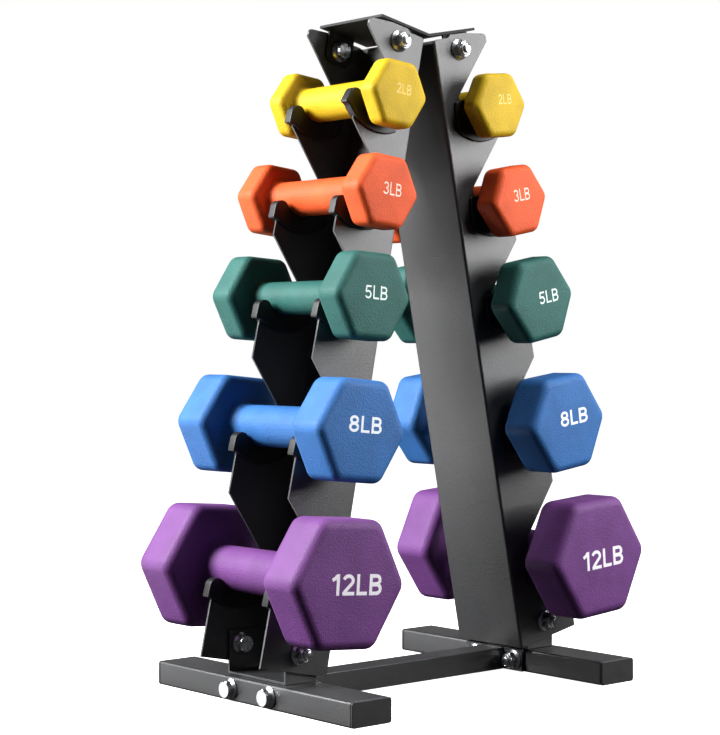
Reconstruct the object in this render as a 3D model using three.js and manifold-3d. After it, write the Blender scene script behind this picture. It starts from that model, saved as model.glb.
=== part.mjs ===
// Dumbbell rack: two folded steel channels lean together into an A-frame on two box-section
// feet.  Each channel has five pairs of hook notches, one pair per dumbbell, and every notch
// is lined with a moulded rubber cradle.  Ten hexagonal dumbbells lie in the cradles.
// Millimetres, +Z up, the front is -Y.  The origin is on the floor, below the middle.
import * as THREE from 'three';
import { mergeVertices } from 'three/addons/utils/BufferGeometryUtils.js';
import Module from 'manifold-3d';

const wasm = await Module();
wasm.setup();

// ---------------------------------------------------------------- driving dimensions
const GAP = 0.3;                 // clearance between pieces that touch on the real object
const OVERCUT = 1;               // how far a cutter runs past the faces it cuts

const LEAN = THREE.MathUtils.degToRad(11.5);
const FOOT = { width: 40, height: 20, length: 254, wall: 2, inner: 120, corner: 2 };
const FOOT_CAP = { plate: 2.5, plug: 12, wall: 2 };
const BAR = { depth: 25, height: 19, lift: 0.5, wall: 1.5 };
const BAR_PLATE = { thickness: 3, halfDepth: 35 };

// An upright is drawn in its own plane: u runs up along the channel, v runs outward from
// the web.  The web's inward face is v = 0, and u = 0 is level with the floor at BASE_X.
const BASE_X = 116;
const CHANNEL = { width: 80, sheet: 2, bend: 2.5, bottom: 23, top: 560, webTop: 557 };
const EDGE = { bottom: 70, taper: 0.0145 };      // the flange's outer edge, tapering upward
const NOTCH = { radius: 22, inset: 21, tip: -14 };
const EAR = { side: 550, corner: 554.5, shoulder: 557.2, flat: 37, step: 20, relief: 557.5 };

const LINER = { inner: 18.75, width: 8.4, armTop: 5, rim: 43.3, rimCentre: 10.3 };

// One row per tier: u of the notch centre, u where the flange edge below the hook ends (the
// lowest one runs to the channel's end), then the dumbbell's size across flats, head length,
// half length and handle radius, and how far the left and the right one are turned about
// their handles and pushed back along them.
const TIERS = [
  { name: 'purple', notch: 98, flats: 101, head: 43.5, half: 104.5,
    handle: 18.4, turn: [-4.4, 4.6], shift: [-3, -2], colour: 0x7a4d92 },
  { name: 'blue', notch: 219, edgeEnd: 158, flats: 81.4, head: 39, half: 95.7,
    handle: 17.25, turn: [-5.5, 8], shift: [3.5, 3], colour: 0x3c66b4 },
  { name: 'green', notch: 331, edgeEnd: 271.5, flats: 70.4, head: 28.5, half: 84.5,
    handle: 14, turn: [-3.6, 11], shift: [6, 1.5], colour: 0x4f8d78 },
  { name: 'orange', notch: 416.5, edgeEnd: 376.5, flats: 58.5, head: 25.5, half: 81.5,
    handle: 15, turn: [-6, 11], shift: [6.5, 6.5], colour: 0xea6a45 },
  { name: 'yellow', notch: 499, edgeEnd: 470.7, flats: 53.8, head: 19.8, half: 69.3,
    handle: 14.75, turn: [-6, 5.5], shift: [0, 0], colour: 0xe0c23c },
];
const HEAD_BEVEL = 3;
const HANDLE_FILLET = 5.5;
const LOOSE_LINER = { name: 'yellow_liner_left_front', skew: 17 };   // sits turned in its notch

const ROOF = { underside: 561, thickness: 2.2, reach: 50 };
const TAB = { near: 14, far: 42, bottom: 535, corner: 5 };
const TOP_BOLT = { u: 546.5, v: 28 };
const SHOE = { inner: 121.5, outer: 153, top: 56, sheet: 2 };
const SHOE_BOLT = { u: 38.5, v: 33 };
const FOOT_BOLT_Y = 25;
const BOLT = { shank: 4, hole: 4.3, flange: 9, washer: 1.5, hex: 13, head: 5.5, nut: 8, tip: 2 };

// ---------------------------------------------------------------- materials
const paint = { color: 0x2b2d30, roughness: 0.55, metalness: 0.3 };
const rubber = { color: 0x121214, roughness: 0.6, metalness: 0 };
const plastic = { color: 0x0e0e10, roughness: 0.5, metalness: 0 };
const zinc = { color: 0xb9bcc0, roughness: 0.3, metalness: 0.9 };

// ---------------------------------------------------------------- solids and geometry
function toSolid(geometry) {
  const bare = geometry.clone();
  bare.deleteAttribute('normal');
  bare.deleteAttribute('uv');
  const merged = mergeVertices(bare, 1e-4);
  const corners = merged.index.array;
  const kept = [];
  for (let i = 0; i < corners.length; i += 3) {
    const [a, b, c] = [corners[i], corners[i + 1], corners[i + 2]];
    if (a !== b && b !== c && c !== a) kept.push(a, b, c);
  }
  return new wasm.Manifold(new wasm.Mesh({
    numProp: 3,
    vertProperties: new Float32Array(merged.attributes.position.array),
    triVerts: new Uint32Array(kept),
  }));
}

function toGeometry(solid) {
  const mesh = solid.getMesh();
  const geometry = new THREE.BufferGeometry();
  geometry.setAttribute('position', new THREE.BufferAttribute(mesh.vertProperties, 3));
  geometry.setIndex(new THREE.BufferAttribute(mesh.triVerts, 1));
  return geometry;
}

function join(solids) {
  return solids.reduce((whole, next) => whole.add(next));
}

// The mirror image in the plane X = 0, with its faces still pointing out.
function mirrored(geometry) {
  const copy = geometry.clone();
  const place = copy.attributes.position;
  for (let i = 0; i < place.count; i += 1) place.setX(i, -place.getX(i));
  const corners = copy.index.array;
  for (let i = 0; i < corners.length; i += 3) {
    [corners[i + 1], corners[i + 2]] = [corners[i + 2], corners[i + 1]];
  }
  return copy;
}

function polygon(points) {
  return new THREE.Shape(points.map(([x, y]) => new THREE.Vector2(x, y)));
}

// An outline of [x, z] points, extruded across Y.
function prismAcrossY(points, yLow, yHigh) {
  const geometry = new THREE.ExtrudeGeometry(polygon(points),
    { depth: yHigh - yLow, bevelEnabled: false });
  return geometry.rotateX(Math.PI / 2).translate(0, yHigh, 0);
}

// An outline of [x, y] points, extruded up Z.
function prismUpZ(points, zLow, zHigh) {
  const geometry = new THREE.ExtrudeGeometry(polygon(points),
    { depth: zHigh - zLow, bevelEnabled: false });
  return geometry.translate(0, 0, zLow);
}

function box(xLow, xHigh, yLow, yHigh, zLow, zHigh) {
  return new THREE.BoxGeometry(xHigh - xLow, yHigh - yLow, zHigh - zLow)
    .translate((xLow + xHigh) / 2, (yLow + yHigh) / 2, (zLow + zHigh) / 2);
}

function cylinderAlongY(x, z, radius, yLow, yHigh) {
  return new THREE.CylinderGeometry(radius, radius, yHigh - yLow, 16)
    .translate(x, (yLow + yHigh) / 2, z);
}

// Points of an arc about [cx, cy], from one angle in degrees to another.
function arc(cx, cy, radius, from, to, steps) {
  const points = [];
  for (let i = 0; i <= steps; i += 1) {
    const angle = THREE.MathUtils.degToRad(from + (to - from) * i / steps);
    points.push([cx + radius * Math.cos(angle), cy + radius * Math.sin(angle)]);
  }
  return points;
}

function roundedRectangle(halfWidth, halfHeight, radius, steps) {
  const right = halfWidth - radius;
  const top = halfHeight - radius;
  return [
    ...arc(right, top, radius, 0, 90, steps),
    ...arc(-right, top, radius, 90, 180, steps),
    ...arc(-right, -top, radius, 180, 270, steps),
    ...arc(right, -top, radius, 270, 360, steps),
  ];
}

// ---------------------------------------------------------------- the assembly
const rack = new THREE.Group();

function place(name, geometry, look, parent = rack) {
  const mesh = new THREE.Mesh(geometry, new THREE.MeshStandardMaterial(look));
  mesh.name = name;
  parent.add(mesh);
  return mesh;
}

const SIDES = [{ name: 'left', sign: -1 }, { name: 'right', sign: 1 }];
const ENDS = [{ name: 'front', sign: -1 }, { name: 'back', sign: 1 }];

// A group in which x is v and z is u of that side's upright.
function leaningGroup(side) {
  const group = new THREE.Group();
  group.position.x = side.sign * BASE_X;
  group.rotation.y = -side.sign * LEAN;
  rack.add(group);
  return group;
}

function worldOf(u, v) {
  return {
    x: BASE_X + v * Math.cos(LEAN) - u * Math.sin(LEAN),
    z: u * Math.cos(LEAN) + v * Math.sin(LEAN),
  };
}

function edgeAt(u) {
  return EDGE.bottom - EDGE.taper * (u - CHANNEL.bottom);
}

function notchCentre(tier) {
  return { u: tier.notch, v: edgeAt(tier.notch) - NOTCH.inset };
}

// ---------------------------------------------------------------- uprights
// The flange's outline as [v, u] points, grown by a margin on every edge that faces a liner.
function flangeOutline(margin) {
  const points = [[-OVERCUT, CHANNEL.bottom], [edgeAt(CHANNEL.bottom) + margin, CHANNEL.bottom]];
  const radius = NOTCH.radius - margin;
  const diagonalDrop = margin * Math.SQRT2;
  TIERS.forEach((tier, index) => {
    const { u, v } = notchCentre(tier);
    const tipAngle = THREE.MathUtils.radToDeg(Math.asin((NOTCH.tip + margin) / radius));
    points.push([v + NOTCH.inset + margin, u + NOTCH.tip + margin]);
    points.push(...arc(v, u, radius, tipAngle, -180, 10));
    const above = TIERS[index + 1];
    const end = (above ? above.edgeEnd : EAR.side) - diagonalDrop;
    const rise = edgeAt(end) + margin - (v - radius);
    points.push([v - radius, end - rise]);
    points.push([edgeAt(end) + margin, end]);
  });
  points.push(
    [edgeAt(EAR.corner), EAR.corner],
    [edgeAt(EAR.corner) - 1.2, EAR.shoulder - 0.7],
    [edgeAt(EAR.corner) - 3, EAR.shoulder],
    [EAR.flat, CHANNEL.top],
    [EAR.step, CHANNEL.top],
    [EAR.step - 3, EAR.relief],
    [-OVERCUT, EAR.relief],
  );
  return points;
}

function channelProfile() {
  const half = CHANNEL.width / 2;
  const inside = half - CHANNEL.sheet;
  const reach = EDGE.bottom + OVERCUT;
  return [
    [reach, half],
    ...arc(CHANNEL.bend, half - CHANNEL.bend, CHANNEL.bend, 90, 180, 3),
    ...arc(CHANNEL.bend, CHANNEL.bend - half, CHANNEL.bend, 180, 270, 3),
    [reach, -half],
    [reach, -inside],
    [CHANNEL.sheet, -inside],
    [CHANNEL.sheet, inside],
    [reach, inside],
  ];
}

function uprightSolid() {
  const half = CHANNEL.width / 2 + OVERCUT;
  const folded = toSolid(prismUpZ(channelProfile(), CHANNEL.bottom, CHANNEL.top));
  const outline = toSolid(prismAcrossY(flangeOutline(0), -half, half));
  const webGap = toSolid(box(-OVERCUT, CHANNEL.bend + 1, -half, half,
    CHANNEL.webTop, CHANNEL.top + OVERCUT));
  const holes = join([TOP_BOLT, SHOE_BOLT].map((bolt) => toSolid(
    cylinderAlongY(bolt.v, bolt.u, BOLT.hole, -half, half))));
  return folded.intersect(outline).subtract(webGap).subtract(holes);
}

// ---------------------------------------------------------------- cradle liners
// The moulding's side outline about the notch centre, as [outward, up] points.
function linerOutline() {
  const rimStart = THREE.MathUtils.radToDeg(Math.asin(22.5 / LINER.rim));
  const rimEnd = THREE.MathUtils.radToDeg(Math.asin(30.5 / LINER.rim));
  return [
    [-LINER.inner, LINER.armTop],
    ...arc(0, 0, LINER.inner, 180, 322, 8),
    [17.6, -10.1],
    [21.4, -10.4],
    [24.6, -12.2],
    [26.6, -15.4],
    [27.2, -26.2],
    ...arc(0, LINER.rimCentre, LINER.rim, rimStart - 90, -90 - rimEnd, 7),
    [-29.4, LINER.armTop - 2.4],
    [-27, LINER.armTop],
  ];
}

function linerSolid(tier, end, skew) {
  const { u, v } = notchCentre(tier);
  const plane = end.sign * (CHANNEL.width - CHANNEL.sheet) / 2;
  const blank = prismAcrossY(linerOutline(), -LINER.width / 2, LINER.width / 2);
  blank.rotateY(-THREE.MathUtils.degToRad(skew)).translate(v, plane, u);
  const slotHalf = CHANNEL.sheet / 2 + GAP;
  const slot = prismAcrossY(flangeOutline(GAP), plane - slotHalf, plane + slotHalf);
  return toSolid(blank).subtract(toSolid(slot));
}

// ---------------------------------------------------------------- fasteners
function hexagon(flats, turn = 0) {
  return arc(0, 0, flats / Math.sqrt(3), turn, turn + 300, 5);
}

// A bolt along +Z: its head clamps at z = 0 from below, and its washer and nut at z = grip.
function boltSolid(grip) {
  const { washer, head, nut, tip } = BOLT;
  const disc = arc(0, 0, BOLT.flange, 0, 330, 11);
  const shank = arc(0, 0, BOLT.shank, 0, 330, 11);
  const under = -GAP - washer;
  const over = grip + GAP + washer;
  return join([
    prismUpZ(disc, under, -GAP),
    prismUpZ(hexagon(BOLT.hex), under - head, under + washer / 2),
    prismUpZ(shank, -washer, over + nut + tip),
    prismUpZ(disc, over - washer, over),
    prismUpZ(hexagon(BOLT.hex, 15), over - washer / 2, over + nut),
  ].map(toSolid));
}

// ---------------------------------------------------------------- feet and cross bar
function footSolid() {
  const halfTube = FOOT.length / 2 - FOOT_CAP.plate;
  const middle = FOOT.inner + FOOT.width / 2;
  const outline = roundedRectangle(FOOT.width / 2, FOOT.height / 2, FOOT.corner, 2)
    .map(([x, z]) => [x + middle, z + FOOT.height / 2]);
  const tube = toSolid(prismAcrossY(outline, -halfTube, halfTube));
  const bore = toSolid(box(FOOT.inner + FOOT.wall, FOOT.inner + FOOT.width - FOOT.wall,
    -halfTube - OVERCUT, halfTube + OVERCUT, FOOT.wall, FOOT.height - FOOT.wall));
  const holes = join(ENDS.map((end) => toSolid(
    new THREE.CylinderGeometry(BOLT.hole, BOLT.hole, FOOT.width + 2 * OVERCUT, 16)
      .rotateZ(Math.PI / 2).translate(middle, end.sign * FOOT_BOLT_Y, FOOT.height / 2))));
  return tube.subtract(bore).subtract(holes);
}

// The plastic plug for the back end of the right foot: a face plate and an open cup.
function footCapSolid() {
  const middle = FOOT.inner + FOOT.width / 2;
  const seam = FOOT.length / 2 - FOOT_CAP.plate;
  const shift = ([x, z]) => [x + middle, z + FOOT.height / 2];
  const face = roundedRectangle(FOOT.width / 2, FOOT.height / 2, FOOT.corner, 2).map(shift);
  const play = FOOT.wall + GAP;
  const plug = [FOOT.inner + play, FOOT.inner + FOOT.width - play, play, FOOT.height - play];
  const cup = toSolid(box(plug[0], plug[1], seam - FOOT_CAP.plug, seam + OVERCUT,
    plug[2], plug[3]));
  const hollow = toSolid(box(plug[0] + FOOT_CAP.wall, plug[1] - FOOT_CAP.wall,
    seam - FOOT_CAP.plug - OVERCUT, seam, plug[2] + FOOT_CAP.wall, plug[3] - FOOT_CAP.wall));
  return toSolid(prismAcrossY(face, seam + GAP, FOOT.length / 2)).add(cup).subtract(hollow);
}

const plateOuter = FOOT.inner - GAP;
const plateInner = plateOuter - BAR_PLATE.thickness;

function barPlateSolid() {
  const plate = toSolid(box(plateInner, plateOuter, -BAR_PLATE.halfDepth, BAR_PLATE.halfDepth,
    BAR.lift, FOOT.height));
  const holes = join(ENDS.map((end) => toSolid(
    new THREE.CylinderGeometry(BOLT.hole, BOLT.hole, BAR_PLATE.thickness + 2 * OVERCUT, 16)
      .rotateZ(Math.PI / 2)
      .translate((plateInner + plateOuter) / 2, end.sign * FOOT_BOLT_Y, FOOT.height / 2))));
  return plate.subtract(holes);
}

function crossBarSolid() {
  const reach = plateInner - GAP;
  const half = BAR.depth / 2;
  const { lift, height, wall } = BAR;
  const tube = toSolid(box(-reach, reach, -half, half, lift, lift + height));
  return tube.subtract(toSolid(box(-reach - OVERCUT, reach + OVERCUT, wall - half, half - wall,
    lift + wall, lift + height - wall)));
}

// ---------------------------------------------------------------- shoes and top bracket
function shoeSolid() {
  const bolt = worldOf(SHOE_BOLT.u, SHOE_BOLT.v);
  const half = CHANNEL.width / 2 - CHANNEL.sheet - GAP;
  const low = FOOT.height + GAP;
  const block = toSolid(box(SHOE.inner, SHOE.outer, -half, half, low, SHOE.top));
  const inside = toSolid(box(SHOE.inner - OVERCUT, SHOE.outer + OVERCUT,
    SHOE.sheet - half, half - SHOE.sheet, low + SHOE.sheet, SHOE.top + OVERCUT));
  const hole = toSolid(cylinderAlongY(bolt.x, bolt.z, BOLT.hole, -half - OVERCUT,
    half + OVERCUT));
  return block.subtract(inside).subtract(hole);
}

// One of the bracket's ears: it hangs from the roof inside a flange and takes a top bolt.
function tabSolid(side, end) {
  const inner = CHANNEL.width / 2 - 2 * CHANNEL.sheet - GAP;
  const outer = inner + CHANNEL.sheet;
  const { near, far, bottom, corner } = TAB;
  const outline = [
    [near, ROOF.underside + 1],
    [near, bottom + corner],
    [near + corner, bottom],
    [far - corner, bottom],
    [far, bottom + corner],
    [far, ROOF.underside + 1],
  ];
  const [low, high] = end.sign > 0 ? [inner, outer] : [-outer, -inner];
  const plate = toSolid(prismAcrossY(outline, low, high));
  const hole = toSolid(cylinderAlongY(TOP_BOLT.v, TOP_BOLT.u, BOLT.hole, low - OVERCUT,
    high + OVERCUT));
  const leaned = toGeometry(plate.subtract(hole)).rotateY(-LEAN).translate(BASE_X, 0, 0);
  return toSolid(side.sign > 0 ? leaned : mirrored(leaned));
}

// The height of the roof's centre fold, for a face that lies at u on both uprights.
function foldHeight(u) {
  const v = (u * Math.sin(LEAN) - BASE_X) / Math.cos(LEAN);
  return worldOf(u, v).z;
}

function topBracketSolid() {
  const half = CHANNEL.width / 2;
  const under = worldOf(ROOF.underside, ROOF.reach);
  const over = worldOf(ROOF.underside + ROOF.thickness, ROOF.reach);
  const roof = toSolid(prismAcrossY([
    [-under.x, under.z],
    [0, foldHeight(ROOF.underside)],
    [under.x, under.z],
    [over.x, over.z],
    [0, foldHeight(ROOF.underside + ROOF.thickness)],
    [-over.x, over.z],
  ], -half, half));
  const tabs = SIDES.flatMap((side) => ENDS.map((end) => tabSolid(side, end)));
  return join([roof, ...tabs]);
}

// ---------------------------------------------------------------- dumbbells
// One head centred on the Y axis, with its flats level, from y = near to y = far.
function headSolid(tier, near, far) {
  const shape = polygon(hexagon(tier.flats - 2 * HEAD_BEVEL));
  const head = new THREE.ExtrudeGeometry(shape, {
    depth: far - near - 2 * HEAD_BEVEL,
    bevelEnabled: true,
    bevelThickness: HEAD_BEVEL,
    bevelSize: HEAD_BEVEL,
    bevelSegments: 1,
  });
  return toSolid(head.rotateX(Math.PI / 2).translate(0, far - HEAD_BEVEL, 0));
}

function dumbbellSolid(tier) {
  const near = tier.half - tier.head;
  const root = near + HEAD_BEVEL;
  const flare = tier.handle + HANDLE_FILLET;
  const grip = near - HANDLE_FILLET;
  const soft = HANDLE_FILLET * (1 - Math.SQRT1_2);
  const profile = [
    [0, -root], [flare, -root], [flare, -near], [tier.handle + soft, soft - near],
    [tier.handle, -grip], [tier.handle, grip], [tier.handle + soft, near - soft],
    [flare, near], [flare, root], [0, root],
  ];
  const handle = toSolid(new THREE.LatheGeometry(
    profile.map(([radius, y]) => new THREE.Vector2(radius, y)), 16));
  return join([handle, headSolid(tier, near, tier.half), headSolid(tier, -tier.half, -near)]);
}

// ---------------------------------------------------------------- putting it together
const upright = toGeometry(uprightSolid());
const foot = toGeometry(footSolid());
const backCap = toGeometry(footCapSolid());
const barPlate = toGeometry(barPlateSolid());
const shoe = toGeometry(shoeSolid());
const sheetGrip = 2 * CHANNEL.sheet + GAP;
const sheetBolt = toGeometry(boltSolid(sheetGrip));
const footBolt = toGeometry(boltSolid(FOOT.inner + FOOT.width - plateInner));
const sideOf = (side, geometry) => (side.sign > 0 ? geometry : mirrored(geometry));

place('cross_bar', toGeometry(crossBarSolid()), paint);
place('top_bracket', toGeometry(topBracketSolid()), paint);

for (const side of SIDES) {
  const leaning = leaningGroup(side);
  place(`${side.name}_upright`, sideOf(side, upright), paint, leaning);
  place(`${side.name}_foot`, sideOf(side, foot), paint);
  place(`${side.name}_bar_plate`, sideOf(side, barPlate), paint);
  place(`${side.name}_shoe`, sideOf(side, shoe), paint);

  for (const end of ENDS) {
    const corner = `${side.name}_${end.name}`;
    const cap = place(`foot_cap_${corner}`, sideOf(side, backCap), plastic);
    if (end.sign < 0) {
      cap.geometry = mirrored(cap.geometry);
      cap.rotation.z = Math.PI;
    }

    for (const [name, bolt] of [['top', TOP_BOLT], ['shoe', SHOE_BOLT]]) {
      const fastener = place(`${name}_bolt_${corner}`, sheetBolt, zinc, leaning);
      const inside = CHANNEL.width / 2 - sheetGrip;
      fastener.rotation.x = -end.sign * Math.PI / 2;
      fastener.position.set(side.sign * bolt.v, end.sign * inside, bolt.u);
    }

    const through = place(`foot_bolt_${corner}`, footBolt, zinc);
    through.rotation.y = -side.sign * Math.PI / 2;
    through.position.set(side.sign * (FOOT.inner + FOOT.width), end.sign * FOOT_BOLT_Y,
      FOOT.height / 2);

    for (const tier of TIERS) {
      const name = `${tier.name}_liner_${corner}`;
      const skew = name === LOOSE_LINER.name ? LOOSE_LINER.skew : 0;
      const liner = toGeometry(linerSolid(tier, end, skew));
      place(name, sideOf(side, liner), rubber, leaning);
    }
  }

  for (const tier of TIERS) {
    const { u, v } = notchCentre(tier);
    const seat = worldOf(u, v);
    const look = { color: tier.colour, roughness: 0.65, metalness: 0 };
    const dumbbell = place(`${tier.name}_dumbbell_${side.name}`,
      toGeometry(dumbbellSolid(tier)), look);
    const column = side.sign > 0 ? 1 : 0;
    dumbbell.rotation.y = -THREE.MathUtils.degToRad(tier.turn[column]);
    dumbbell.position.set(side.sign * seat.x, tier.shift[column],
      seat.z - (LINER.inner - tier.handle - GAP));
  }
}

export default rack;
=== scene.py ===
"""The looks of a loaded dumbbell rack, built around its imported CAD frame.  Metres, +Z up."""
import math

import bmesh
import bpy
from mathutils import Matrix, Vector


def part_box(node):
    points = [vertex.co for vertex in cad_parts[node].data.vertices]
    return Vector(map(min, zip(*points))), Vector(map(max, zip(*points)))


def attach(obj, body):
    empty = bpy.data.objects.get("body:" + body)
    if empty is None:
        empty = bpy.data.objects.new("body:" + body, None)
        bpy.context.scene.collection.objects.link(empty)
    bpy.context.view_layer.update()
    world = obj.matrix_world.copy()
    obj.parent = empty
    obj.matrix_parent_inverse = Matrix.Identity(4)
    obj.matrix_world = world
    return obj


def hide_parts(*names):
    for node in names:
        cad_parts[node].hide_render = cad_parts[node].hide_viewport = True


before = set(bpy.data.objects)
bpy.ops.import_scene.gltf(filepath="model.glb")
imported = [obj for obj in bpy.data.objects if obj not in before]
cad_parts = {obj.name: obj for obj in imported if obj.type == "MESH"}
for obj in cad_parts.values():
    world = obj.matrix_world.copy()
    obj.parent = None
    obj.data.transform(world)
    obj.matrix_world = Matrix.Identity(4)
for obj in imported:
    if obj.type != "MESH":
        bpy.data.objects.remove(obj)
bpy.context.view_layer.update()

MM = 0.001

# ---------------------------------------------------------------- facts shared with the CAD
LEAN = math.radians(11.5)
SHEET = 2 * MM
GAP = 0.3 * MM
CHANNEL_HALF = 40 * MM
NOTCH_RADIUS = 22 * MM
NOTCH_INSET = 21 * MM
NOTCH_TIP = -14 * MM
LINER_INNER = 18.75 * MM
LINER_WIDTH = 8.4 * MM
LINER_ARM_TOP = 5 * MM
LINER_RIM = 43.3 * MM
LINER_RIM_CENTRE = 10.3 * MM
LOOSE_LINER = ("yellow_liner_left_front", math.radians(17))
CAD_HEAD_BEVEL = 3 * MM
BOLT = {"shank": 4 * MM, "flange": 9 * MM, "washer": 1.5 * MM, "hex": 13 * MM,
        "head": 5.5 * MM, "nut": 8 * MM, "tip": 2 * MM}
SHEET_GRIP = 2 * SHEET + GAP
FOOT_GRIP = 43.3 * MM

SIDES = {"left": -1, "right": 1}
ENDS = {"front": -1, "back": 1}

# Each tier's weight mark: its text, its width and height, its strokes' width as a share of
# the height, and where its middle lies on the end faces of the left and the right dumbbell.
TIERS = {
    "yellow": {"mark": "2LB", "width": 16.0 * MM, "height": 8.7 * MM, "stroke": 0.12,
               "left": (2.5 * MM, 3.6 * MM), "right": (3.0 * MM, 4.5 * MM)},
    "orange": {"mark": "3LB", "width": 19.5 * MM, "height": 10.8 * MM, "stroke": 0.115,
               "left": (2.6 * MM, 1.8 * MM), "right": (0.6 * MM, 4.5 * MM)},
    "green": {"mark": "5LB", "width": 24.0 * MM, "height": 11.2 * MM, "stroke": 0.125,
              "left": (0.4 * MM, 2.7 * MM), "right": (6.7 * MM, 1.5 * MM)},
    "blue": {"mark": "8LB", "width": 34.0 * MM, "height": 13.2 * MM, "stroke": 0.16,
             "left": (0.8 * MM, 5.2 * MM), "right": (4.7 * MM, 4.6 * MM)},
    "purple": {"mark": "12LB", "width": 51 * MM, "height": 16.4 * MM, "stroke": 0.17,
               "left": (5.0 * MM, 0.5 * MM), "right": (0.5 * MM, -0.3 * MM)},
}

# ---------------------------------------------------------------- colours
COAT_COLOURS = {
    "yellow": (0.50, 0.33, 0.004),
    "orange": (0.62, 0.078, 0.015),
    "green": (0.019, 0.098, 0.085),
    "blue": (0.028, 0.124, 0.350),
    "purple": (0.135, 0.043, 0.185),
}
MARK_COLOURS = {
    "yellow": (0.76, 0.56, 0.15),
    "orange": (0.90, 0.66, 0.55),
    "green": (0.80, 0.90, 0.86),
    "blue": (0.86, 0.91, 0.96),
    "purple": (0.90, 0.86, 0.93),
}
CHARCOAL = ((0.0125, 0.013, 0.0145), (0.02, 0.0205, 0.0225))
RUBBER_BLACK = ((0.007, 0.007, 0.0075), (0.014, 0.014, 0.015))
PLASTIC_BLACK = ((0.016, 0.016, 0.017), (0.024, 0.024, 0.025))
ZINC_GREY = ((0.48, 0.49, 0.51), (0.68, 0.69, 0.71))
WHITE = (1, 1, 1, 1)

# ---------------------------------------------------------------- camera and lights
CAMERA_PLACE = (-1.0997, -1.2211, 0.2914)
CAMERA_YAW = math.radians(40.89)
CAMERA_PITCH = math.radians(-0.73)
CAMERA_LENS = 95.86
SENSOR_WIDTH = 36

FLOOR_SIZE = 9
FLOOR_GLOW = 1.0
FILL = 0.035
# Softboxes: place, aim, width, height, power.
SOFTBOXES = {
    "key": ((-1.26, 0.64, 1.04), (0, 0, 0.24), 0.6, 0.7, 87),
    "left_sheen": ((-0.98, 1.13, -0.14), (0, 0, 0.05), 0.9, 0.6, 3.4),
    "floor_bounce": ((-0.62, 0.70, 0.0), (-0.62, 0.70, 1.0), 0.8, 0.8, 6.5),
    "front": ((0.71, -0.72, 0.58), (0, 0, 0.36), 0.75, 0.62, 13.2),
    "front_high": ((0.3, -0.75, 1.35), (0, -0.05, 0.45), 0.4, 0.4, 16),
    "back_glow": ((0.95, 1.1, 0.13), (0, 0, 0.1), 1.2, 0.5, 1.0),
    "rim": ((0, 1.35, 1.3), (0, 0, 0.2), 1.0, 0.5, 1.3),
}

# ---------------------------------------------------------------- dumbbell shape
SIDE_STEPS = 6
CORNER_STEPS = 6
ROUND_STEPS = 6
QUARTER_TURN = [math.radians(90 * i / ROUND_STEPS) for i in range(ROUND_STEPS + 1)]
CORNER_START, CORNER_SHARE = 4 * MM, 0.16      # a head's corner radius grows with its apothem
EDGE_START, EDGE_SHARE = 2.6 * MM, 0.11        # and so does the rounding of its two rims
CORNER_SHRINK = 0.8        # how much of an inset a corner radius gives up
CORNER_ONSET = 0.8         # how early the round handle starts to turn hexagonal
CROWN = 0.35 * MM          # how far the end faces bulge
PLAIN_HANDLE = 0.6         # the handle's plain part, as a share of the way to the head
HANDLE_FILLET = 9 * MM
FILLET_SWEEP = math.radians(78)
FILLET_REACH = 0.98
FILLET_CLEARANCE = 0.5 * MM
INNER_FACE_SHARES = (0.35, 0.7)
SIDE_FACE_SHARES = (0.33, 0.67)
END_FACE_SHARES = (0.8, 0.55, 0.3, 0.1)
RIM_TOLERANCE = 0.05 * MM

# ---------------------------------------------------------------- weight marks
SIGN_SPACE = 0.13
PAINT_THICKNESS = 0.12 * MM
PAINT_SINK = 0.1 * MM          # the paint's underside lies this far below the crown
STROKE_LIFT = 0.015 * MM       # each further stroke of a sign lies this much higher
TIGHTEST_MITRE = 0.5

# ---------------------------------------------------------------- liner shape
# Points of the moulding's outline about the notch centre: (outward, up), in millimetres.
LINER_LIP = [(15.7, -10.6), (17.6, -10.0), (19.6, -9.9), (21.6, -10.3), (23.6, -11.2),
             (25.4, -12.9), (26.6, -15.4), (27.2, -25.4), (26.4, -26.6)]
LINER_RIM_OUTER = 22.5 * MM
LINER_RIM_INNER = 30.5 * MM
LINER_SEAT_END = 322
LINER_ARM = [(-29.4, -2.4), (-28.6, -0.8), (-27, 0)]      # up from the arm's top
LINER_ROUNDING = 1.1 * MM
CUTTER_REACH = 60 * MM

# ---------------------------------------------------------------- fastener shape
RING_POINTS = 36
# A turned profile: (share of the radius, distance along the axis).
FLANGE_PROFILE = [(0.97, 0), (1, 0.3 * MM), (1, 0.8 * MM), (0.93, 1.2 * MM), (0.74, 2.5 * MM)]
COLLAR_PROFILE = [(0.93, 2.2 * MM), (0.93, 0.9 * MM), (0.86, 0.3 * MM), (0.72, 0),
                  (0.66, 0.25 * MM)]
COLLAR_HEIGHT = 1.9 * MM
FLANGE_OVERLAP = 0.4 * MM
HEX_CHAMFER = 0.56 * MM
HEX_CORNER = 0.4 * MM
HEX_BLANK = 0.985
NUT_TURN = 0.4
PLAIN_SHANK = 0.9
PLAIN_END = 2 * MM
THREAD_PITCH = 1.0 * MM
THREAD_ROOT = 0.86
THREAD_START = 1.6 * MM
THREAD_STOP = 0.9 * MM
TIP_PROFILE = [(0.94, 0.5 * MM), (0.7, 0)]

# ---------------------------------------------------------------- edges of the painted pieces
PAIR_ROUNDINGS = {"upright": 0.4 * MM, "foot": 0.4 * MM, "bar_plate": 0.5 * MM,
                  "shoe": 0.4 * MM}
CAP_ROUNDING = 0.5 * MM
BAR_ROUNDING = 0.6 * MM
BRACKET_ROUNDING = 0.4 * MM
SAME_POINT = 0.002 * MM
FLAT_ANGLE = math.radians(0.5)
HARD_ANGLE = math.radians(50)
SHEET_SHARP = math.radians(48)
LINER_SHARP = math.radians(42)
BOLT_SHARP = math.radians(32)


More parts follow.
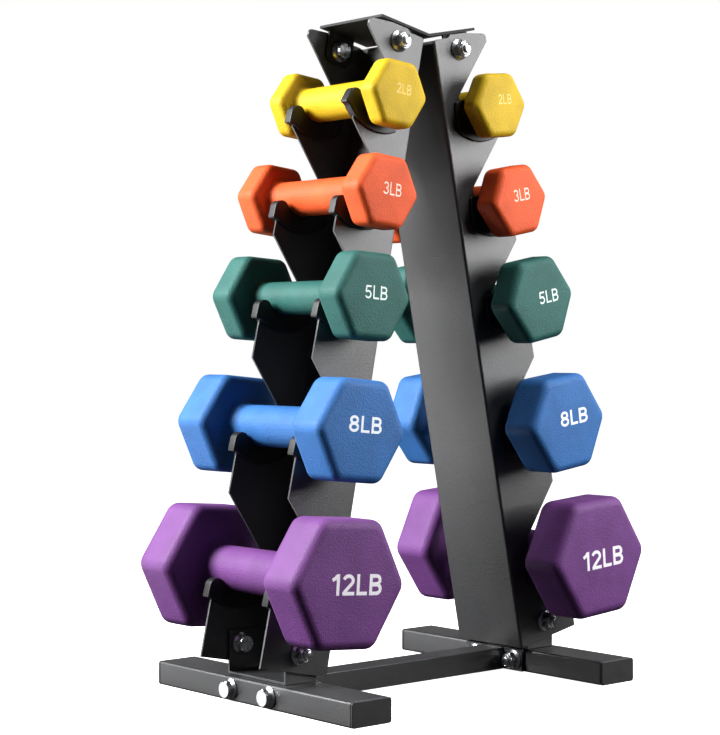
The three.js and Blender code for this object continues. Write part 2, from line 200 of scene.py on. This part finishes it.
# ---------------------------------------------------------------- node material helpers
def new_material(name):
    material = bpy.data.materials.new(name)
    material.use_nodes = True
    tree = material.node_tree
    return material, tree, tree.nodes["Principled BSDF"]


def coordinates(tree):
    return tree.nodes.new("ShaderNodeTexCoord").outputs["Object"]


def noise(tree, scale, detail=3.0, rough=0.55):
    """A cloud of noise with this many cells to the metre."""
    node = tree.nodes.new("ShaderNodeTexNoise")
    node.inputs["Scale"].default_value = scale
    node.inputs["Detail"].default_value = detail
    node.inputs["Roughness"].default_value = rough
    tree.links.new(coordinates(tree), node.inputs["Vector"])
    return node.outputs["Fac"]


def cells(tree, scale):
    """Round pebbles, this many to the metre."""
    node = tree.nodes.new("ShaderNodeTexVoronoi")
    node.inputs["Scale"].default_value = scale
    tree.links.new(coordinates(tree), node.inputs["Vector"])
    return node.outputs["Distance"]


def tint(tree, shader, value, tones, dark_at, light_at):
    """Colours the surface between a dark and a light tone."""
    node = tree.nodes.new("ShaderNodeValToRGB")
    for stop, tone, place in zip(node.color_ramp.elements, tones, (dark_at, light_at)):
        stop.position = place
        stop.color = (*tone, 1)
    tree.links.new(value, node.inputs["Fac"])
    tree.links.new(node.outputs["Color"], shader.inputs["Base Color"])


def roughen(tree, shader, value, low, high):
    node = tree.nodes.new("ShaderNodeMapRange")
    node.inputs["To Min"].default_value = low
    node.inputs["To Max"].default_value = high
    tree.links.new(value, node.inputs["Value"])
    tree.links.new(node.outputs["Result"], shader.inputs["Roughness"])


def bump(tree, height, strength, depth, under=None):
    node = tree.nodes.new("ShaderNodeBump")
    node.inputs["Strength"].default_value = strength
    node.inputs["Distance"].default_value = depth
    tree.links.new(height, node.inputs["Height"])
    if under is not None:
        tree.links.new(under, node.inputs["Normal"])
    return node.outputs["Normal"]


def scaled(colour, factor):
    return tuple(min(1.0, channel * factor) for channel in colour)


# ---------------------------------------------------------------- materials
def neoprene(name, colour):
    """A matt dip coat with a fine leathery grain and faint cloudiness."""
    material, tree, shader = new_material(name)
    clouds = noise(tree, scale=38, detail=2.0)
    tones = (scaled(colour, 0.86), scaled(colour, 1.1))
    tint(tree, shader, clouds, tones, dark_at=0.3, light_at=0.7)
    grain = noise(tree, scale=950, rough=0.6)
    roughen(tree, shader, grain, low=0.5, high=0.68)
    shader.inputs["Specular IOR Level"].default_value = 0.26
    pebbles = bump(tree, cells(tree, scale=620), strength=0.35, depth=0.5 * MM)
    normal = bump(tree, grain, strength=0.4, depth=0.5 * MM, under=pebbles)
    tree.links.new(normal, shader.inputs["Normal"])
    return material


def powder_coat(name, roughness, specular):
    """Charcoal powder coat: fine orange peel and light wear in the tone."""
    material, tree, shader = new_material(name)
    patches = noise(tree, scale=14)
    tint(tree, shader, patches, CHARCOAL, dark_at=0.35, light_at=0.7)
    peel = noise(tree, scale=700, detail=2.0, rough=0.5)
    roughen(tree, shader, peel, *roughness)
    shader.inputs["Specular IOR Level"].default_value = specular
    speckle = noise(tree, scale=2100, detail=2.0, rough=0.6)
    waves = bump(tree, peel, strength=0.4, depth=0.4 * MM)
    normal = bump(tree, speckle, strength=0.5, depth=0.3 * MM, under=waves)
    tree.links.new(normal, shader.inputs["Normal"])
    return material


def liner_rubber():
    material, tree, shader = new_material("liner_rubber")
    clouds = noise(tree, scale=60, detail=2.0)
    tint(tree, shader, clouds, RUBBER_BLACK, dark_at=0.3, light_at=0.7)
    grain = noise(tree, scale=1300, detail=2.0)
    roughen(tree, shader, grain, low=0.38, high=0.5)
    shader.inputs["Specular IOR Level"].default_value = 0.32
    normal = bump(tree, grain, strength=0.12, depth=0.2 * MM)
    tree.links.new(normal, shader.inputs["Normal"])
    return material


def cap_plastic():
    material, tree, shader = new_material("cap_plastic")
    clouds = noise(tree, scale=90, detail=2.0)
    tint(tree, shader, clouds, PLASTIC_BLACK, dark_at=0.3, light_at=0.7)
    grain = noise(tree, scale=1800)
    roughen(tree, shader, grain, low=0.45, high=0.6)
    normal = bump(tree, grain, strength=0.25, depth=0.2 * MM)
    tree.links.new(normal, shader.inputs["Normal"])
    return material


def zinc_plate():
    material, tree, shader = new_material("zinc_plate")
    clouds = noise(tree, scale=300)
    tint(tree, shader, clouds, ZINC_GREY, dark_at=0.3, light_at=0.7)
    shader.inputs["Metallic"].default_value = 1.0
    roughen(tree, shader, clouds, low=0.2, high=0.36)
    scratches = noise(tree, scale=2600, detail=2.0)
    normal = bump(tree, scratches, strength=0.1, depth=0.12 * MM)
    tree.links.new(normal, shader.inputs["Normal"])
    return material


def mark_paint(name, colour):
    material, tree, shader = new_material(name)
    wear = noise(tree, scale=1500)
    tint(tree, shader, wear, (scaled(colour, 0.86), colour), dark_at=0.35, light_at=0.6)
    roughen(tree, shader, wear, low=0.5, high=0.7)
    normal = bump(tree, wear, strength=0.2, depth=0.2 * MM)
    tree.links.new(normal, shader.inputs["Normal"])
    return material


# ---------------------------------------------------------------- mesh helpers
def object_of(name, build, material, body, replaced=(), smooth=True):
    """A new piece from a bmesh: it rides on a body and may stand for CAD nodes."""
    mesh = bpy.data.meshes.new(name)
    build.normal_update()
    build.to_mesh(mesh)
    build.free()
    for face in mesh.polygons:
        face.use_smooth = smooth
    piece = bpy.data.objects.new(name, mesh)
    bpy.context.scene.collection.objects.link(piece)
    mesh.materials.append(material)
    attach(piece, body)
    if replaced:
        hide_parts(*replaced)
    return piece


def weighted_normals(piece):
    modifier = piece.modifiers.new("even_shading", "WEIGHTED_NORMAL")
    modifier.keep_sharp = True
    modifier.weight = 80


def arc(cx, cy, radius, start, stop, steps):
    """Points of an arc about (cx, cy), from one angle in degrees to another."""
    angles = [math.radians(start + (stop - start) * i / steps) for i in range(steps + 1)]
    return [(cx + radius * math.cos(a), cy + radius * math.sin(a)) for a in angles]


def bow(cx, cy, rx, ry, start, stop, steps=14):
    """Points of an upright ellipse about (cx, cy), from one angle in degrees to another."""
    return [(cx + rx * x, cy + ry * y) for x, y in arc(0, 0, 1, start, stop, steps)]


def loft(build, rings, transform):
    """Skins closed rings of points of one count, and caps both ends with a middle point."""
    layers = [[build.verts.new(transform @ Vector(point)) for point in ring] for ring in rings]
    count = len(layers[0])
    for lower, upper in zip(layers, layers[1:]):
        for i in range(count):
            j = (i + 1) % count
            build.faces.new((lower[i], lower[j], upper[j], upper[i]))
    for layer, flip in ((layers[0], True), (layers[-1], False)):
        middle = build.verts.new(sum((v.co for v in layer), Vector()) / count)
        for i in range(count):
            j = (i + 1) % count
            corners = (layer[j], layer[i], middle) if flip else (layer[i], layer[j], middle)
            build.faces.new(corners)


# ---------------------------------------------------------------- dumbbells
def polar_hexagon(angle, apothem, corner):
    """The distance to the edge of a hexagon with rounded corners, its corners on 0, 60 ..."""
    slant = (angle + math.pi / 6) % (math.pi / 3) - math.pi / 6
    slant = math.pi / 6 - abs(slant)
    core = apothem - corner
    if apothem * math.tan(slant) <= core / math.sqrt(3):
        return apothem / math.cos(slant)
    reach = 2 * core / math.sqrt(3)
    off = math.pi / 6 - slant
    return reach * math.cos(off) + math.sqrt(max(0.0, corner ** 2 - (reach * math.sin(off)) ** 2))


def hexagon_angles(apothem, corner):
    """Polar angles that put points along each side and closely round each corner."""
    core = apothem - corner
    half_side = core / math.sqrt(3)
    angles = []
    for sector in range(6):
        centre = math.radians(30 + 60 * sector)
        for i in range(SIDE_STEPS):
            across = half_side * (2 * i / SIDE_STEPS - 1)
            angles.append(centre + math.atan2(across, apothem))
        for i in range(CORNER_STEPS):
            turn = math.radians(60 * i / CORNER_STEPS)
            x = core + corner * math.cos(turn)
            y = half_side + corner * math.sin(turn)
            angles.append(centre + math.atan2(y, x))
    return angles


def head_corner(apothem):
    return CORNER_START + CORNER_SHARE * apothem


def corner_between(a, grip, rim, last):
    """The corner radius while a round handle turns into a hexagonal head."""
    share = min(1.0, max(0.0, (a - grip) / (rim - grip))) ** CORNER_ONSET
    return a * (1 - share) + last * share


def handle_profile(near, grip, rim, shift):
    """(y, apothem) from mid-handle, up the fillet, to near the rim of a head's inner face."""
    liner_face = CHANNEL_HALF - SHEET / 2 + LINER_WIDTH / 2
    fillet = min(HANDLE_FILLET, near - abs(shift) - liner_face - FILLET_CLEARANCE)
    start = near - fillet * math.sin(FILLET_SWEEP)
    rows = [(0, grip), (PLAIN_HANDLE * near, grip)]
    for i in range(ROUND_STEPS + 1):
        turn = FILLET_SWEEP * i / ROUND_STEPS
        rows.append((start + fillet * math.sin(turn) * FILLET_REACH,
                     grip + fillet * (1 - math.cos(turn))))
    foot = rows[-1][1]
    return rows + [(near, foot + (rim - foot) * share) for share in INNER_FACE_SHARES]


def half_profile(near, half, apothem, grip, shift):
    """(y, apothem, corner radius) from mid-handle to the middle of one end."""
    edge = EDGE_START + EDGE_SHARE * apothem
    corner = head_corner(apothem)
    rim = apothem - edge
    last = corner - edge * CORNER_SHRINK
    rows = [(y, a, corner_between(a, grip, rim, last))
            for y, a in handle_profile(near, grip, rim, shift)]
    for turn in QUARTER_TURN:
        inset = edge * (1 - math.sin(turn))
        rows.append((near + edge * (1 - math.cos(turn)), apothem - inset,
                     corner - inset * CORNER_SHRINK))
    for share in SIDE_FACE_SHARES:
        rows.append((near + edge + (half - near - 2 * edge) * share, apothem, corner))
    for turn in QUARTER_TURN:
        inset = edge * (1 - math.cos(turn))
        rows.append((half - CROWN - edge * (1 - math.sin(turn)), apothem - inset,
                     corner - inset * CORNER_SHRINK))
    for share in END_FACE_SHARES:
        rows.append((half - CROWN * share ** 2, rim * share, last * share))
    return rows


def measure_dumbbell(node):
    """A dumbbell's axis, turn and main sizes, read from its CAD mesh."""
    low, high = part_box(node)
    middle = (low + high) / 2
    points = [v.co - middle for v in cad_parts[node].data.vertices]
    spans = [math.hypot(p.x, p.z) for p in points]
    reach = max(spans)
    rim = [p for p, span in zip(points, spans) if span > reach - RIM_TOLERANCE]
    angle = math.atan2(rim[0].z, rim[0].x)
    return {
        "middle": middle,
        "turn": (angle + math.pi / 6) % (math.pi / 3) - math.pi / 6,
        "apothem": reach * math.cos(math.pi / 6),
        "grip": min(spans),
        "near": min(abs(p.y) for p in rim) - CAD_HEAD_BEVEL,
        "half": (high.y - low.y) / 2,
    }


def add_dumbbell(tier, side, coat, paint):
    node = f"{tier}_dumbbell_{side}"
    body = f"{tier}_{side}_weight"
    size = measure_dumbbell(node)
    rows = half_profile(size["near"], size["half"], size["apothem"], size["grip"],
                        size["middle"].y)
    rows = [(-y, a, c) for y, a, c in reversed(rows[1:])] + rows
    angles = hexagon_angles(size["apothem"], head_corner(size["apothem"]))
    rings = []
    for y, apothem, radius in rows:
        spans = [polar_hexagon(a, apothem, min(radius, apothem)) for a in angles]
        rings.append([(s * math.cos(a + size["turn"]), y, s * math.sin(a + size["turn"]))
                      for s, a in zip(spans, angles)])
    build = bmesh.new()
    loft(build, rings, Matrix.Translation(size["middle"]))
    bmesh.ops.recalc_face_normals(build, faces=build.faces)
    piece = object_of(f"{tier}_{side}_coated_weight", build, coat, body,
                      (node,))
    weighted_normals(piece)
    for end, sign in ENDS.items():
        add_mark(tier, side, end, sign, size, body, paint)


# Each sign's width and the centre lines of its strokes, for a height of 1.
SIGNS = {
    "1": (0.48, [[(0.37, 0), (0.37, 1)], [(0.03, 0.72), (0.19, 0.79), (0.33, 0.93)]]),
    "2": (0.72, [bow(0.36, 0.69, 0.265, 0.22, 165, -35) + [(0.13, 0.15)],
                 [(0.03, 0.09), (0.72, 0.09)]]),
    "3": (0.70, [bow(0.34, 0.715, 0.25, 0.195, 160, -75)
                 + bow(0.33, 0.305, 0.285, 0.215, 75, -160)]),
    "5": (0.70, [[(0.15, 0.91), (0.66, 0.91)], [(0.19, 0.97), (0.11, 0.5)],
                 bow(0.34, 0.33, 0.27, 0.24, 140, -155)]),
    "8": (0.72, [bow(0.36, 0.725, 0.235, 0.19, 0, 360), bow(0.36, 0.3, 0.275, 0.215, 0, 360)]),
    "L": (0.62, [[(0.09, 1), (0.09, 0.09), (0.62, 0.09)]]),
    "B": (0.74, [[(0.09, 0), (0.09, 1)],
                 [(0.12, 0.91)] + bow(0.42, 0.72, 0.2, 0.19, 90, -90, 8) + [(0.12, 0.53)],
                 [(0.12, 0.5)] + bow(0.44, 0.295, 0.215, 0.205, 90, -90, 8) + [(0.12, 0.09)]]),
}


def ribbon_edges(points, thickness):
    """The left and the right edge of a ribbon along a centre line, with mitred bends."""
    left, right = [], []
    for i, (x, y) in enumerate(points):
        before = points[max(i - 1, 0)]
        after = points[min(i + 1, len(points) - 1)]
        into = Vector((x - before[0], y - before[1])) if i else None
        away = Vector((after[0] - x, after[1] - y)) if i < len(points) - 1 else None
        into = (into or away).normalized()
        away = (away or into).normalized()
        across = Vector((-into.y - away.y, into.x + away.x)).normalized()
        mitre = max(TIGHTEST_MITRE, across.dot(Vector((-into.y, into.x))))
        reach = thickness / 2 / mitre
        left.append((x + reach * across.x, y + reach * across.y))
        right.append((x - reach * across.x, y - reach * across.y))
    return left, right


def add_stroke(build, points, thickness, stretch, place):
    """One flat raised stroke, open underneath."""
    rows = [[build.verts.new(place @ Vector((x * stretch[0], y * stretch[1], z))) for x, y in side]
            for side in ribbon_edges(points, thickness) for z in (0, PAINT_THICKNESS)]
    low_left, high_left, low_right, high_right = rows
    for first, second in ((high_left, high_right), (low_left, high_left), (high_right, low_right)):
        for i in range(len(points) - 1):
            build.faces.new((first[i], second[i], second[i + 1], first[i + 1]))


def add_mark(tier, side, end, sign, size, body, paint):
    """The weight, printed on one end face."""
    facts = TIERS[tier]
    signs = [SIGNS[letter] for letter in facts["mark"]]
    whole = sum(width for width, _ in signs) + SIGN_SPACE * (len(signs) - 1)
    stretch = (facts["width"] / whole, facts["height"])
    along, up = facts[side]
    facing = Matrix.Rotation(math.pi / 2, 4, "X")
    if sign > 0:
        facing = Matrix.Rotation(math.pi, 4, "Z") @ facing
    turned = Matrix.Rotation(-size["turn"], 4, "Y")
    shift = Matrix.Translation((-sign * along, sign * (size["half"] - PAINT_SINK), up))
    place = Matrix.Translation(size["middle"]) @ turned @ shift @ facing
    build = bmesh.new()
    start = -whole / 2
    for width, strokes in signs:
        for layer, points in enumerate(strokes):
            points = [(start + x, y - 0.5) for x, y in points]
            lift = Matrix.Translation((0, 0, STROKE_LIFT * layer))
            add_stroke(build, points, facts["stroke"], stretch, place @ lift)
        start += width + SIGN_SPACE
    bmesh.ops.recalc_face_normals(build, faces=build.faces)
    object_of(f"{tier}_{side}_mark_{end}", build, paint, body, smooth=False)


# ---------------------------------------------------------------- cradle liners
def liner_outline():
    """The moulding's side outline about the notch centre, as (outward, up) points."""
    start = math.degrees(math.asin(LINER_RIM_OUTER / LINER_RIM))
    stop = math.degrees(math.asin(LINER_RIM_INNER / LINER_RIM))
    points = [(-LINER_INNER, LINER_ARM_TOP)]
    points += arc(0, 0, LINER_INNER, 180, LINER_SEAT_END, 28)
    points += [(x * MM, z * MM) for x, z in LINER_LIP]
    points += arc(0, LINER_RIM_CENTRE, LINER_RIM, start - 90, -90 - stop, 22)
    points += [(x * MM, LINER_ARM_TOP + z * MM) for x, z in LINER_ARM]
    return points


def slot_outline():
    """The steel that the moulding grips, as (outward, up) points, a little oversize."""
    play = GAP / 2
    radius = NOTCH_RADIUS - play
    far = CUTTER_REACH
    tip = math.degrees(math.asin((NOTCH_TIP + play) / radius))
    points = [(-far, far), (-radius, far)]
    points += arc(0, 0, radius, -180, tip, 26)
    points += [(NOTCH_INSET + play, NOTCH_TIP + play), (NOTCH_INSET + play, -far), (-far, -far)]
    return points


def prism(points, width, turn=0.0):
    """An outline of (x, z) points extruded across Y, about Y = 0, and its two end faces."""
    build = bmesh.new()
    spin = Matrix.Rotation(-turn, 3, "Y")
    low = [build.verts.new(spin @ Vector((x, -width / 2, z))) for x, z in points]
    high = [build.verts.new(spin @ Vector((x, width / 2, z))) for x, z in points]
    caps = [build.faces.new(low), build.faces.new(list(reversed(high)))]
    count = len(points)
    for i in range(count):
        j = (i + 1) % count
        build.faces.new((low[j], low[i], high[i], high[j]))
    bmesh.ops.recalc_face_normals(build, faces=build.faces)
    return build, caps


def scratch_object(build):
    mesh = bpy.data.meshes.new("scratch")
    build.to_mesh(mesh)
    build.free()
    thing = bpy.data.objects.new("scratch", mesh)
    bpy.context.scene.collection.objects.link(thing)
    return thing


def liner_mesh(skew):
    """One liner about its notch centre: rounded edges, with the groove cut for the steel."""
    build, caps = prism(liner_outline(), LINER_WIDTH, skew)
    rims = [edge for cap in caps for edge in cap.edges]
    bmesh.ops.bevel(build, geom=rims, offset=LINER_ROUNDING, segments=4, affect="EDGES",
                    profile=0.5, clamp_overlap=True)
    blank = scratch_object(build)
    cutter = scratch_object(prism(slot_outline(), SHEET + GAP)[0])
    cut = blank.modifiers.new("groove", "BOOLEAN")
    cut.operation = "DIFFERENCE"
    cut.solver = "EXACT"
    cut.object = cutter
    bpy.context.view_layer.update()
    depsgraph = bpy.context.evaluated_depsgraph_get()
    mesh = bpy.data.meshes.new_from_object(blank.evaluated_get(depsgraph))
    bpy.data.objects.remove(blank)
    bpy.data.objects.remove(cutter)
    return mesh


def add_liner(tier, side, end, mesh, place, rubber):
    build = bmesh.new()
    build.from_mesh(mesh)
    build.transform(place)
    bmesh.ops.recalc_face_normals(build, faces=build.faces)
    piece = object_of(f"{tier}_cradle_{side}_{end}", build, rubber,
                      "rack", (f"{tier}_liner_{side}_{end}",))
    piece.data.set_sharp_from_angle(angle=LINER_SHARP)
    weighted_normals(piece)


def add_liners(rubber):
    straight = liner_mesh(0.0)
    loose_name, skew = LOOSE_LINER
    loose = liner_mesh(skew)
    for tier in TIERS:
        for side, sign in SIDES.items():
            size = measure_dumbbell(f"{tier}_dumbbell_{side}")
            rest = LINER_INNER - size["grip"] - GAP
            notch = Matrix.Translation((abs(size["middle"].x), 0, size["middle"].z + rest))
            lean = Matrix.Rotation(-LEAN, 4, "Y")
            mirror = Matrix.Diagonal((sign, 1, 1, 1))
            for end, facing in ENDS.items():
                mesh = loose if f"{tier}_liner_{side}_{end}" == loose_name else straight
                plane = Matrix.Translation((0, facing * (CHANNEL_HALF - SHEET / 2), 0))
                add_liner(tier, side, end, mesh, mirror @ notch @ lean @ plane, rubber)


# ---------------------------------------------------------------- fasteners
def circle_ring(radius, z, turn=0.0):
    angles = [2 * math.pi * i / RING_POINTS + turn for i in range(RING_POINTS)]
    return [(radius * math.cos(a), radius * math.sin(a), z) for a in angles]


def hex_ring(flats, z, turn):
    ring = []
    for i in range(RING_POINTS):
        angle = 2 * math.pi * i / RING_POINTS
        span = polar_hexagon(angle, flats / 2, HEX_CORNER)
        ring.append((span * math.cos(angle + turn), span * math.sin(angle + turn), z))
    return ring


def turned_rings(radius, profile, start, direction):
    """Rings of a turned profile that runs from one height, up (1) or down (-1)."""
    return [circle_ring(radius * share, start + direction * distance)
            for share, distance in profile]


def hex_block(build, low, high, turn, transform):
    """A hexagon with both rims chamfered as a turned blank leaves them."""
    flats = BOLT["hex"]
    blank = flats / 2 * HEX_BLANK
    rings = [
        circle_ring(blank, low, turn),
        hex_ring(flats, low + HEX_CHAMFER, turn),
        hex_ring(flats, high - HEX_CHAMFER, turn),
        circle_ring(blank, high, turn),
    ]
    loft(build, rings, transform)


def shank_rings(top, tip):
    """The plain shank inside, and the thread's ridges that stand out of the nut."""
    shank = BOLT["shank"]
    rings = [circle_ring(shank * PLAIN_SHANK, -BOLT["washer"]),
             circle_ring(shank * PLAIN_SHANK, top - PLAIN_END)]
    z = top - THREAD_START
    while z < tip - THREAD_STOP:
        rings += [circle_ring(shank, z), circle_ring(shank * THREAD_ROOT, z + THREAD_PITCH / 2)]
        z += THREAD_PITCH
    return rings + turned_rings(shank, TIP_PROFILE, tip, -1)


def fastener(build, transform, grip, turn):
    """A flanged bolt and nut along +Z: the bolt's flange clamps at z = 0, the nut's at grip."""
    under = -GAP
    over = grip + GAP
    head_low = under - BOLT["washer"] - BOLT["head"]
    top = over + BOLT["washer"] + BOLT["nut"]
    loft(build, turned_rings(BOLT["flange"], FLANGE_PROFILE, under, -1)[::-1], transform)
    hex_block(build, head_low, under - FLANGE_OVERLAP, turn, transform)
    loft(build, turned_rings(BOLT["flange"], FLANGE_PROFILE, over, 1), transform)
    hex_block(build, over + FLANGE_OVERLAP, top - COLLAR_HEIGHT, turn + NUT_TURN, transform)
    loft(build, turned_rings(BOLT["hex"] / 2, COLLAR_PROFILE, top, -1), transform)
    loft(build, shank_rings(top, top + BOLT["tip"]), transform)


def clamp_of(kind, node, sign, facing):
    """Where a bolt's flange clamps, the way it points, and how much it grips."""
    low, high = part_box(node)
    middle = (low + high) / 2
    head_side = BOLT["head"] + BOLT["washer"] + GAP
    if kind == "foot":
        outer = max(abs(low.x), abs(high.x)) - head_side
        return Vector((sign * outer, middle.y, middle.z)), Vector((-sign, 0, 0)), FOOT_GRIP
    inner = min(abs(low.y), abs(high.y)) + head_side
    return Vector((middle.x, facing * inner, middle.z)), Vector((0, facing, 0)), SHEET_GRIP


def bolt_turn(index, sign, facing):
    """Each bolt was left at an angle of its own."""
    return 0.5 + 0.7 * index + 0.9 * (sign * facing + 1)


def add_fasteners(zinc):
    for side, sign in SIDES.items():
        for end, facing in ENDS.items():
            for index, kind in enumerate(("top", "shoe", "foot")):
                node = f"{kind}_bolt_{side}_{end}"
                clamp, direction, grip = clamp_of(kind, node, sign, facing)
                aim = direction.to_track_quat("Z", "Y").to_matrix().to_4x4()
                build = bmesh.new()
                fastener(build, Matrix.Translation(clamp) @ aim, grip,
                         bolt_turn(index, sign, facing))
                bmesh.ops.recalc_face_normals(build, faces=build.faces)
                piece = object_of(f"{kind}_fastener_{side}_{end}", build, zinc,
                                  "rack", (node,))
                piece.data.set_sharp_from_angle(angle=BOLT_SHARP)


# ---------------------------------------------------------------- sheet and tube pieces
def add_dressed(node, material, rounding):
    """The CAD piece itself with its hard edges rounded, as a painted sheet edge is."""
    build = bmesh.new()
    build.from_mesh(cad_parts[node].data)
    bmesh.ops.remove_doubles(build, verts=build.verts, dist=SAME_POINT)
    bmesh.ops.dissolve_limit(build, angle_limit=FLAT_ANGLE, verts=build.verts,
                             edges=build.edges)
    hard = [e for e in build.edges if len(e.link_faces) == 2
            and e.calc_face_angle() > HARD_ANGLE]
    bmesh.ops.bevel(build, geom=hard, offset=rounding, segments=2, affect="EDGES", profile=0.5,
                    clamp_overlap=True)
    piece = object_of(f"{node}_painted", build, material, "rack", (node,))
    piece.data.set_sharp_from_angle(angle=SHEET_SHARP)
    weighted_normals(piece)


def add_frame_pieces(paint, matt_paint, plastic):
    for side in SIDES:
        for part, rounding in PAIR_ROUNDINGS.items():
            add_dressed(f"{side}_{part}", paint, rounding)
        for end in ENDS:
            add_dressed(f"foot_cap_{side}_{end}", plastic, CAP_ROUNDING)
    add_dressed("cross_bar", paint, BAR_ROUNDING)
    add_dressed("top_bracket", matt_paint, BRACKET_ROUNDING)


# ---------------------------------------------------------------- stage, camera and light
def add_camera():
    data = bpy.data.cameras.new("camera")
    data.lens = CAMERA_LENS
    data.sensor_width = SENSOR_WIDTH
    data.sensor_fit = "HORIZONTAL"
    camera = bpy.data.objects.new("camera", data)
    camera.location = CAMERA_PLACE
    camera.rotation_euler = (math.pi / 2 + CAMERA_PITCH, 0, -CAMERA_YAW)
    bpy.context.scene.collection.objects.link(camera)
    bpy.context.scene.camera = camera


def floor_paper():
    material, _, shader = new_material("floor_paper")
    shader.inputs["Base Color"].default_value = (0.8, 0.8, 0.8, 1)
    shader.inputs["Roughness"].default_value = 0.9
    shader.inputs["Specular IOR Level"].default_value = 0.1
    shader.inputs["Emission Color"].default_value = WHITE
    shader.inputs["Emission Strength"].default_value = FLOOR_GLOW
    return material


def add_floor():
    """A pale floor that only the camera sees, so that it throws no light up at the rack."""
    build = bmesh.new()
    bmesh.ops.create_grid(build, x_segments=1, y_segments=1, size=FLOOR_SIZE)
    mesh = bpy.data.meshes.new("floor")
    build.to_mesh(mesh)
    build.free()
    floor = bpy.data.objects.new("floor", mesh)
    bpy.context.scene.collection.objects.link(floor)
    floor.visible_diffuse = False
    floor.visible_glossy = False
    floor.visible_shadow = False
    mesh.materials.append(floor_paper())


def add_softbox(name, place, aim, width, height, power):
    data = bpy.data.lights.new(name, "AREA")
    data.shape = "RECTANGLE"
    data.size = width
    data.size_y = height
    data.energy = power
    lamp = bpy.data.objects.new(name, data)
    lamp.location = place
    lamp.rotation_euler = (Vector(aim) - Vector(place)).to_track_quat("-Z", "Y").to_euler()
    lamp.visible_camera = False
    bpy.context.scene.collection.objects.link(lamp)


def add_world():
    """White behind everything, with only a faint even fill on the rack itself."""
    world = bpy.data.worlds.new("studio")
    world.use_nodes = True
    tree = world.node_tree
    fill = tree.nodes["Background"]
    fill.inputs["Color"].default_value = WHITE
    fill.inputs["Strength"].default_value = FILL
    backdrop = tree.nodes.new("ShaderNodeBackground")
    backdrop.inputs["Color"].default_value = WHITE
    choose = tree.nodes.new("ShaderNodeMixShader")
    rays = tree.nodes.new("ShaderNodeLightPath")
    tree.links.new(rays.outputs["Is Camera Ray"], choose.inputs["Fac"])
    tree.links.new(fill.outputs["Background"], choose.inputs[1])
    tree.links.new(backdrop.outputs["Background"], choose.inputs[2])
    tree.links.new(choose.outputs["Shader"], tree.nodes["World Output"].inputs["Surface"])
    bpy.context.scene.world = world


def main():
    add_camera()
    gloss_paint = powder_coat("powder_coat", roughness=(0.36, 0.5), specular=0.95)
    matt_paint = powder_coat("matt_powder_coat", roughness=(0.62, 0.74), specular=0.3)
    add_frame_pieces(gloss_paint, matt_paint, cap_plastic())
    add_liners(liner_rubber())
    add_fasteners(zinc_plate())
    for tier in TIERS:
        coat = neoprene(f"{tier}_coat", COAT_COLOURS[tier])
        paint = mark_paint(f"{tier}_mark", MARK_COLOURS[tier])
        for side in SIDES:
            add_dumbbell(tier, side, coat, paint)
    add_floor()
    add_world()
    for name, facts in SOFTBOXES.items():
        add_softbox(name, *facts)
    bpy.context.scene.view_settings.view_transform = "Standard"


main()
